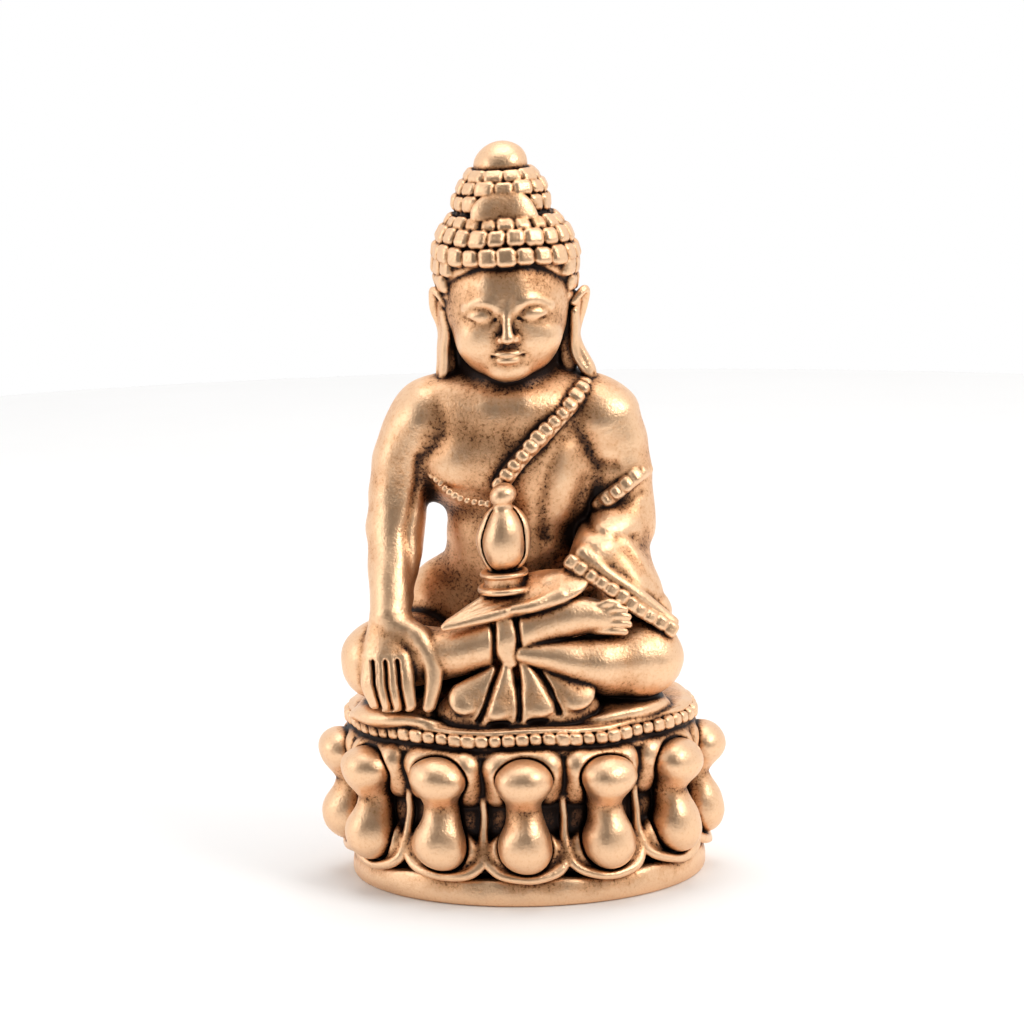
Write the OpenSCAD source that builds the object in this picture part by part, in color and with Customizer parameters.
// Seated figure in metal, touching the earth with one hand and holding a lidded jar in the other,
// on an oval lotus throne. A loose bead rattles in a chamber that a plate closes from below.
// Millimetres, +Z up. The figure faces -Y, and the origin is the middle of the resting face.

/* [Throne] */
// Width of the plinth, from side to side
plinth_w = 14.6; // [14:0.1:15.2]
// Depth of the plinth, from front to back
plinth_d = 11.6; // [11.2:0.1:12.2]
// Height of the plinth
plinth_h = 1.1; // [0.9:0.05:1.2]
// Height of the surface that the figure sits on
deck_z = 7.2; // [7.1:0.05:7.3]
// Number of beads round the deck
deck_beads = 49; // [40:1:51]
// Radius of one bead of the deck
deck_bead_r = 0.34; // [0.2:0.01:0.35]

/* [Petals] */
// Radius of the lower, hanging bulbs
lower_bulb_r = 0.98; // [0.8:0.01:1]
// Radius of the upper, standing bulbs
upper_bulb_r = 0.92; // [0.8:0.01:1]
// Height of the middle of the lower bulbs
lower_bulb_z = 2.75; // [2.6:0.05:2.85]
// Height of the middle of the upper bulbs
upper_bulb_z = 5.3; // [5.2:0.05:5.35]

/* [Rattle] */
// Radius of the loose bead
rattle_r = 1.2; // [0.8:0.05:1.4]
// Thickness of the plate that closes the chamber
plate_t = 0.8; // [0.6:0.05:1]
// Thickness of the wall round the chamber
wall = 1.7; // [1.5:0.1:1.8]
// Where the loose bead lies, towards one end of its chamber
rattle_x = -3; // [-3.2:0.1:-3]

/* [Figure] */
// How far the figure's middle sits from the throne's middle
figure_x = -0.45; // [-0.5:0.05:-0.4]
// Distance between the outer sides of the knees
knee_span = 13.7; // [13.4:0.1:13.8]
// Distance between the outer sides of the shoulders
shoulder_span = 10.6; // [10.4:0.1:10.8]
// Height of the shoulder joints above the deck
shoulder_rise = 11.5; // [11.4:0.05:11.6]
// Number of beads along the robe's hem, from the shoulder to the jar
hem_beads = 11; // [8:1:12]

/* [Head] */
// Radius of the skull
skull_r = 2.5; // [2.4:0.05:2.55]
// Radius of the hair under its curls
hair_r = 2.72; // [2.65:0.01:2.75]
// Radius of the topknot under its curls
topknot_r = 1.82; // [1.75:0.01:1.85]
// Radius of one curl
curl_r = 0.4; // [0.36:0.01:0.42]
// Height of the tip of the finial
height = 30; // [29.9:0.05:30.1]

/* [Hidden] */

bronze = "peru";
dark_bronze = "sienna";
pale_bronze = "burlywood";

seam = 0.02;          // clearance left where two pieces meet
$fn = 20;             // facets of the modelled flesh and cloth
small_sides = 10;     // facets of toes, folds and the robe's beads
oval_sides = 72;      // sides of the throne's oval outline
far = 40;             // larger than the whole object

// --- the throne's own sizes
drum_w = plinth_w - 1.7;
drum_d = plinth_d - 1.9;
drum_top = deck_z - 0.95;
ring_w = plinth_w - 0.4;
ring_d = plinth_d - 1.1;
channel = 2 * deck_bead_r + 0.04;
channel_depth = 0.55;
chamber_w = drum_w - 2 * wall;
chamber_d = drum_d - 2 * wall;
chamber_top = drum_top - 0.45;
plate_w = chamber_w + 1.0;
plate_d = chamber_d + 1.0;
bulb_ring_w = plinth_w + 0.3;
bulb_ring_d = plinth_d + 0.3;
petal_angles = [-88, -58, -27.5, 0, 27.5, 58, 88];

// --- the balls that the figure's forms are stretched over, each [x, y, z, radius]
shoulder_r = 1.55;
knee_r = 1.5;
shoulder_z = deck_z + shoulder_rise;
half_shoulders = shoulder_span / 2 - shoulder_r;
half_knees = knee_span / 2 - knee_r;

pelvis = [for (s = [-1, 1]) [figure_x + 1.7 * s, 0.8, deck_z + 2.2, 2]];
waist = [for (s = [-1, 1]) [figure_x + 0.85 * s, 0.3, deck_z + 6.2, 1.8]];
chest = [for (s = [-1, 1]) [figure_x + 1.65 * s, 0, deck_z + 9.6, 2.05]];
collar = [for (s = [-1, 1]) [figure_x + 2.9 * s, 0.3, shoulder_z + 0.1, 1.4]];
nape = [for (s = [-1, 1]) [figure_x + 1.1 * s, 0.4, shoulder_z + 1.15, 1.1]];

right_shoulder = [figure_x - half_shoulders, 0.1, shoulder_z, shoulder_r];
right_elbow = [-5.1, -0.4, 14.6, 1.2];
right_wrist = [-5.4, -3, 11.7, 0.8];
left_shoulder = [figure_x + half_shoulders, 0.1, shoulder_z, shoulder_r];
left_elbow = [4, 0.2, 14.3, 1.4];
left_wrist = [2.3, -2.75, 12.7, 0.7];

right_hip = [figure_x - 1.8, 1.2, deck_z + 1.9, 1.9];
left_hip = [figure_x + 1.8, 1.2, deck_z + 1.9, 1.9];
right_knee = [figure_x - half_knees, -2.2, deck_z + 2.1, knee_r];
left_knee = [figure_x + half_knees, -2.2, deck_z + 2.1, knee_r + 0.1];
right_ankle = [1.5, -3.5, 10.9, 0.75];
left_ankle = [-1, -3.4, 8.2, 0.85];

jar_x = -0.75;
jar_y = -3.05;
jar_z = 12.85;

hair = [figure_x, 0.25, 25.15];
knot = [figure_x, 0.35, 26.85];
knot_top = 28.5;
ear_x = 2.75;

// --- helpers

function oval(w, d) =
    [for (i = [0:oval_sides - 1]) let (a = 360 * i / oval_sides) [w / 2 * cos(a), d / 2 * sin(a)]];

module oval_slab(w, d, z0, z1) {
    translate([0, 0, z0]) linear_extrude(z1 - z0) polygon(oval(w, d));
}

// Puts its children on the oval at an angle from the front, with -Y turned outwards.
module on_oval(w, d, angle) {
    outwards = atan2(sin(angle) / w, cos(angle) / d);
    translate([w / 2 * sin(angle), -d / 2 * cos(angle), 0]) rotate([0, 0, outwards]) children();
}

// Makes even steps round an oval from even angles.
function evened(angle, w, d) = angle - (w - d) / (w + d) * (90 / PI) * sin(2 * angle);

module ball(b, grow = 0) {
    translate([b[0], b[1], b[2]]) sphere(r = b[3] + grow);
}

module blob(balls, grow = 0) {
    hull() for (b = balls) ball(b, grow);
}

module limb(balls, grow = 0) {
    for (i = [0:len(balls) - 2]) blob([balls[i], balls[i + 1]], grow);
}

function between(a, b, t) = a + (b - a) * t;

module above(z) {
    translate([-far / 2, -far / 2, z]) cube(far);
}

module below(z) {
    above(z - far);
}

// --- the throne

module plinth() {
    color(bronze) difference() {
        union() {
            oval_slab(plinth_w, plinth_d, 0, plinth_h - 0.3);
            oval_slab(plinth_w - 0.4, plinth_d - 0.4, plinth_h - 0.3, plinth_h);
        }
        oval_slab(plate_w, plate_d, -1, plate_t);
        oval_slab(chamber_w, chamber_d, plate_t - 0.1, plinth_h + 1);
    }
}

module base_plate() {
    color(pale_bronze) oval_slab(plate_w - 2 * seam, plate_d - 2 * seam, 0, plate_t);
}

module rattle_bead() {
    color(pale_bronze) translate([rattle_x, 0, plate_t + rattle_r + 0.05]) sphere(r = rattle_r);
}

module lotus_drum() {
    color(dark_bronze) difference() {
        oval_slab(drum_w, drum_d, plinth_h, drum_top);
        oval_slab(chamber_w, chamber_d, plinth_h - 1, chamber_top);
    }
}

// A slab with a channel round its edge for the beads.
module deck() {
    lip = (deck_z - drum_top - channel) / 2;
    color(bronze) {
        oval_slab(ring_w - 0.1, ring_d - 0.1, drum_top, drum_top + lip);
        oval_slab(ring_w - 2 * channel_depth, ring_d - 2 * channel_depth, drum_top + lip, deck_z - lip);
        oval_slab(ring_w - 0.3, ring_d - 0.3, deck_z - lip, deck_z);
    }
}

module deck_bead_ring() {
    reach = channel_depth - deck_bead_r - seam;
    w = ring_w - 2 * reach;
    d = ring_d - 2 * reach;
    color(pale_bronze)
        for (i = [0:deck_beads - 1])
            on_oval(w, d, evened(360 * i / deck_beads, w, d))
                translate([0, 0, (drum_top + deck_z) / 2]) sphere(r = deck_bead_r);
}

// A bulb on a round leaf that stands against the drum.
module petal(angle, z, bulb_r, leaf_r, leaf_lift) {
    leaf_t = 0.45;
    color(bronze) difference() {
        on_oval(bulb_ring_w, bulb_ring_d, angle) {
            translate([0, 0.1, z]) sphere(r = bulb_r);
            translate([0, 0.75, z + leaf_lift]) rotate([90, 0, 0]) cylinder(r = leaf_r, h = leaf_t);
        }
        oval_slab(drum_w + 2 * seam, drum_d + 2 * seam, 0, drum_top + 1);
        below(plinth_h + seam);
        above(drum_top - seam);
    }
}

module lower_petal(i) {
    petal(petal_angles[i - 1], lower_bulb_z, lower_bulb_r, 1.3, -0.1);
}

module upper_petal(i) {
    petal(petal_angles[i - 1], upper_bulb_z, upper_bulb_r, 1.12, 0);
}

// --- the figure. A shape_ module is a piece's whole form, and the piece is that form less its neighbours.

module shape_torso(grow = 0) {
    blob(concat(pelvis, waist), grow);
    blob(concat(waist, chest), grow);
    blob(concat(chest, collar, nape), grow);
}

module shape_right_upper_arm(grow = 0) {
    limb([right_shoulder, right_elbow], grow);
}

module shape_right_forearm(grow = 0) {
    limb([right_elbow, right_wrist], grow);
}

// The back of the hand, four fingers and the thumb.
module shape_right_hand(grow = 0) {
    blob([right_wrist, [-5.7, -3.7, 10.4, 0.62], [-4.6, -3.9, 10.3, 0.62]], grow);
    for (i = [0:3])
        limb([[-6.05 + 0.55 * i, -4.1, 10.2, 0.38], [-5.9 + 0.5 * i, -4.35, 7.95, 0.3]], grow);
    limb([[-4, -3.8, 10.6, 0.42], [-3.4, -4.2, 7.9, 0.3]], grow);
}

module shape_left_upper_arm(grow = 0) {
    limb([left_shoulder, left_elbow], grow);
}

module shape_left_forearm(grow = 0) {
    limb([left_elbow, left_wrist], grow);
}

module shape_left_hand(grow = 0) {
    blob([left_wrist, [0.4, -3.3, 12.35, 0.5], [-0.6, -2.9, 12.3, 0.45]], grow);
    limb([[0.4, -3.35, 12.3, 0.45], [-2.1, -3.75, 11.8, 0.28]], grow);
}

module shape_left_sleeve_fall(grow = 0) {
    blob([
        [4.6, -0.3, 13.6, 0.85],
        [3.1, -2.5, 13.1, 0.5],
        [5.75, -1.4, 10.9, 0.6],
        [5.55, -2.7, 10.8, 0.45]
    ], grow);
}

module shape_right_leg(grow = 0) {
    limb([right_hip, right_knee], grow);
    limb([right_knee, [-2.4, -3.4, 10, 1], right_ankle], grow);
}

module shape_left_leg(grow = 0) {
    limb([left_hip, left_knee, left_ankle], grow);
}

module shape_right_foot(grow = 0) {
    blob([right_ankle, [3.3, -3.5, 11.15, 0.6], [3.4, -3.1, 10.9, 0.6]], grow);
    for (i = [0:4])
        limb([[3.4, -3.75 + 0.25 * i, 11.35 - 0.12 * i, 0.24], [4.3, -3.7 + 0.25 * i, 11.4 - 0.14 * i, 0.2]],
            grow, $fn = small_sides);
}

module shape_head(grow = 0) {
    blob([
        [figure_x, 0.1, 24.3, skull_r],
        [figure_x, -0.5, 23, skull_r - 0.35],
        [figure_x, -1.3, 21.75, 1.1]
    ], grow);
}

module shape_hair(grow = 0) {
    translate(hair) sphere(r = hair_r + grow);
}

// The face side of the hair is a plane that leans back from the brow to the nape.
module face_side() {
    translate([figure_x, -2.4, 25.4]) rotate([-38, 0, 0]) below(0);
}

module legs_and_torso(grow) {
    shape_torso(grow);
    shape_right_leg(grow);
    shape_left_leg(grow);
}

module torso() {
    color(bronze) difference() {
        shape_torso();
        below(deck_z);
    }
}

module neck() {
    color(bronze) difference() {
        limb([[figure_x, 0.2, shoulder_z, 1.7], [figure_x, 0.2, 22.3, 1.6]]);
        shape_torso(seam);
        shape_head(seam);
        shape_hair(seam);
        shape_ear(-1, seam);
        shape_ear(1, seam);
        shape_hem_beads(seam);
    }
}

module right_upper_arm() {
    color(bronze) difference() {
        shape_right_upper_arm();
        shape_torso(seam);
        shape_right_forearm(seam);
        shape_right_hand(seam);
    }
}

module right_forearm() {
    color(bronze) difference() {
        shape_right_forearm();
        shape_torso(seam);
        shape_right_hand(seam);
    }
}

module right_hand() {
    color(bronze) difference() {
        shape_right_hand();
        below(deck_z);
    }
}

module left_upper_arm() {
    color(bronze) difference() {
        shape_left_upper_arm();
        shape_torso(seam);
        shape_left_forearm(seam);
        shape_armlet(seam);
        shape_left_sleeve_fall(seam);
    }
}

module left_forearm() {
    color(bronze) difference() {
        shape_left_forearm();
        shape_torso(seam);
        shape_left_hand(seam);
        shape_armlet(seam);
    }
}

module left_hand() {
    color(bronze) difference() {
        shape_left_hand();
        shape_torso(seam);
        shape_right_leg(seam);
        shape_right_foot(seam);
        jar_column(seam);
    }
}

module left_sleeve_fall() {
    color(bronze) difference() {
        shape_left_sleeve_fall();
        legs_and_torso(seam);
        shape_left_forearm(seam);
        shape_left_hand(seam);
        shape_right_foot(seam);
        shape_sleeve_hem(seam);
    }
}

module right_leg() {
    color(bronze) difference() {
        shape_right_leg();
        shape_torso(seam);
        shape_right_hand(seam);
        shape_right_forearm(seam);
        shape_left_leg(seam);
        below(deck_z);
    }
}

module left_leg() {
    color(bronze) difference() {
        shape_left_leg();
        shape_torso(seam);
        below(deck_z);
    }
}

module right_foot() {
    color(bronze) difference() {
        shape_right_foot();
        legs_and_torso(seam);
        shape_left_forearm(seam);
    }
}

// Folds of the robe that hang over the crossed shins.
module shape_pleat(grow = 0) {
    for (x = [-1.3, -0.8, -0.3])
        limb([[x, -4.15, 11.15, 0.3], [x + 0.05, -4.35, 10, 0.3], [x + 0.1, -4.2, 9, 0.3]], grow,
            $fn = small_sides);
}

module robe_pleat() {
    color(bronze) difference() {
        shape_pleat();
        legs_and_torso(seam);
        shape_left_hand(seam);
    }
}

// The robe's hem, spread on the deck in front of the legs.
module robe_fan() {
    hem = [[-3.1, -4.2], [-1.6, -4.55], [0, -4.75], [1.6, -4.55], [3, -4.2]];
    color(bronze) difference() {
        for (i = [0:len(hem) - 2])
            blob([
                [-0.9 + 0.3 * i, -4.1, 8.95, 0.3],
                [hem[i].x, hem[i].y, deck_z + 0.15, 0.25],
                [hem[i + 1].x, hem[i + 1].y, deck_z + 0.15, 0.25]
            ]);
        legs_and_torso(seam);
        shape_pleat(seam);
        shape_right_hand(seam);
        below(deck_z);
    }
}

// --- rows of beads on the robe

// Slightly long beads in a row that bows out by sag in its middle.
module bead_row(from, to, sag, count, r, grow) {
    half = 0.12 * (to - from) / (count - 1);
    for (i = [0:count - 1]) {
        t = i / (count - 1);
        p = between(from, to, t) + sag * sin(180 * t);
        blob([concat(p - half, r), concat(p + half, r)], grow, $fn = small_sides);
    }
}

module shape_hem_beads(grow = 0) {
    bead_row([2.3, -1.3, 19.6], [-0.55, -2.1, 17.05], [0.1, -0.25, 0.15], hem_beads, 0.32, grow);
}

module robe_hem_beads() {
    color(pale_bronze) difference() {
        shape_hem_beads();
        shape_torso(seam);
        jar_column(seam);
        shape_head(seam);
    }
}

module shape_chest_cord(grow = 0) {
    bead_row([-3.35, -1.5, 16.6], [-1.5, -2.15, 16.1], [0, -0.1, -0.15], 8, 0.22, grow);
}

module robe_chest_cord() {
    color(pale_bronze) difference() {
        shape_chest_cord();
        shape_torso(seam);
        jar_column(seam);
    }
}

module shape_armlet(grow = 0) {
    bead_row([2.85, -1.05, 15.75], [5.35, 0.1, 16.6], [0.15, -0.55, -0.1], 7, 0.31, grow);
}

module left_armlet_beads() {
    color(pale_bronze) difference() {
        shape_armlet();
        shape_torso(seam);
    }
}

module shape_sleeve_hem(grow = 0) {
    bead_row([1.95, -3.3, 13.45], [5.95, -3, 10.6], [0.15, -0.25, 0.15], 12, 0.3, grow);
}

module sleeve_hem_beads() {
    color(pale_bronze) difference() {
        shape_sleeve_hem();
        shape_left_forearm(seam);
        shape_left_hand(seam);
        shape_left_leg(seam);
    }
}

// --- the lidded jar

module jar_part(z0, outline) {
    translate([jar_x, jar_y, jar_z + z0]) rotate_extrude($fn = 48) polygon(outline);
}

module jar_foot() {
    color(bronze) jar_part(0, [[0, 0], [0.95, 0], [1, 0.15], [0.7, 0.35], [0.6, 0.5], [0, 0.5]]);
}

module jar_body() {
    belly = [for (a = [-70:10:80]) [0.95 * cos(a), 1.3 + 1.2 * sin(a)]];
    color(pale_bronze) jar_part(0.5 + seam, concat([[0, 0.17]], belly, [[0, 2.48]]));
}

module jar_lid() {
    knob = [for (a = [-60:15:75]) [0.5 * cos(a), 0.55 + 0.48 * sin(a)]];
    color(bronze) jar_part(3 + 2 * seam, concat([[0, 0], [0.45, 0], [0.3, 0.12]], knob, [[0, 1.03]]));
}

module jar_column(grow = 0) {
    translate([jar_x, jar_y, jar_z - grow]) cylinder(r = 1 + grow, h = 4.2);
}

// --- the head

module head() {
    color(bronze) difference() {
        shape_head();
        difference() {
            shape_hair(seam);
            face_side();
        }
        shape_torso(seam);
        hull() {
            jar_column();
            translate([0, 0, -1]) jar_column();
        }
    }
}

module shape_ear(side, grow = 0) {
    limb([
        [figure_x + side * ear_x, 0.1, 24.1, 0.45],
        [figure_x + side * (ear_x - 0.1), 0, 22.7, 0.38],
        [figure_x + side * (ear_x + 0.4), -0.1, 20.75, 0.45]
    ], grow);
}

module ear(side) {
    color(bronze) difference() {
        shape_ear(side);
        shape_head(seam);
        shape_torso(seam);
        shape_right_upper_arm(seam);
        shape_left_upper_arm(seam);
        shape_hem_beads(seam);
        shape_hair(seam);
    }
}

module hair_cap() {
    color(dark_bronze) difference() {
        shape_hair();
        face_side();
        above(knot.z + 0.35);
    }
}

// Curls in level rows round a ball of hair, kept behind a given front line.
module curls(middle, radius, r, rows, first_z, pitch_z, front_gap) {
    for (k = [0:rows - 1]) {
        z = first_z + k * pitch_z;
        ring = sqrt(max(radius * radius - z * z, 0.01));
        count = floor(2 * PI * ring / (2 * r + 0.03));
        for (i = [0:count - 1]) {
            a = 360 * (i + 0.5 * (k % 2)) / count;
            if (abs(a > 180 ? 360 - a : a) >= front_gap)
                translate(middle + [ring * sin(a), -ring * cos(a), z]) sphere(r = r);
        }
    }
}

module hair_curls() {
    color(bronze) difference() {
        curls(hair, hair_r, curl_r, 3, 0.4, 0.64, 0);
        shape_hair(seam);
        shape_knot(seam);
        face_side();
    }
}

module shape_knot(grow = 0) {
    translate(knot) sphere(r = topknot_r + grow);
}

module topknot() {
    color(dark_bronze) difference() {
        shape_knot();
        above(knot_top);
        below(knot.z + 0.35 + seam);
    }
}

module topknot_curls() {
    color(bronze) difference() {
        curls(knot, topknot_r, 0.3, 2, 0.62, 0.62, 38);
        shape_knot(seam);
        shape_hair(seam);
    }
}

module topknot_plaque() {
    color(pale_bronze) difference() {
        blob([for (s = [-1, 1]) [knot.x + 0.65 * s, knot.y - 1.5, knot.z + 0.6, 0.5]]);
        shape_knot(seam);
        shape_hair(curl_r);
    }
}

module finial() {
    r = 1.08;
    rise = height - knot_top - seam;
    outline = [for (a = [0:10:90]) [r * cos(a), 0.55 + (rise - 0.55) * sin(a)]];
    color(bronze) translate([knot.x, knot.y, knot_top + seam])
        rotate_extrude($fn = 48)
            polygon(concat([[0, 0], [r - 0.25, 0], [r - 0.08, 0.2]], outline));
}

plinth();
base_plate();
rattle_bead();
lotus_drum();
deck();
deck_bead_ring();
lower_petal(1);  // lower_petal_1
lower_petal(2);  // lower_petal_2
lower_petal(3);  // lower_petal_3
lower_petal(4);  // lower_petal_4
lower_petal(5);  // lower_petal_5
lower_petal(6);  // lower_petal_6
lower_petal(7);  // lower_petal_7
upper_petal(1);  // upper_petal_1
upper_petal(2);  // upper_petal_2
upper_petal(3);  // upper_petal_3
upper_petal(4);  // upper_petal_4
upper_petal(5);  // upper_petal_5
upper_petal(6);  // upper_petal_6
upper_petal(7);  // upper_petal_7
torso();
neck();
right_upper_arm();
right_forearm();
right_hand();
left_upper_arm();
left_forearm();
left_hand();
left_sleeve_fall();
right_leg();
left_leg();
right_foot();
robe_pleat();
robe_fan();
robe_hem_beads();
robe_chest_cord();
left_armlet_beads();
sleeve_hem_beads();
jar_foot();
jar_body();
jar_lid();
head();
ear(-1);  // right_ear
ear(1);  // left_ear
hair_cap();
hair_curls();
topknot();
topknot_plaque();
topknot_curls();
finial();
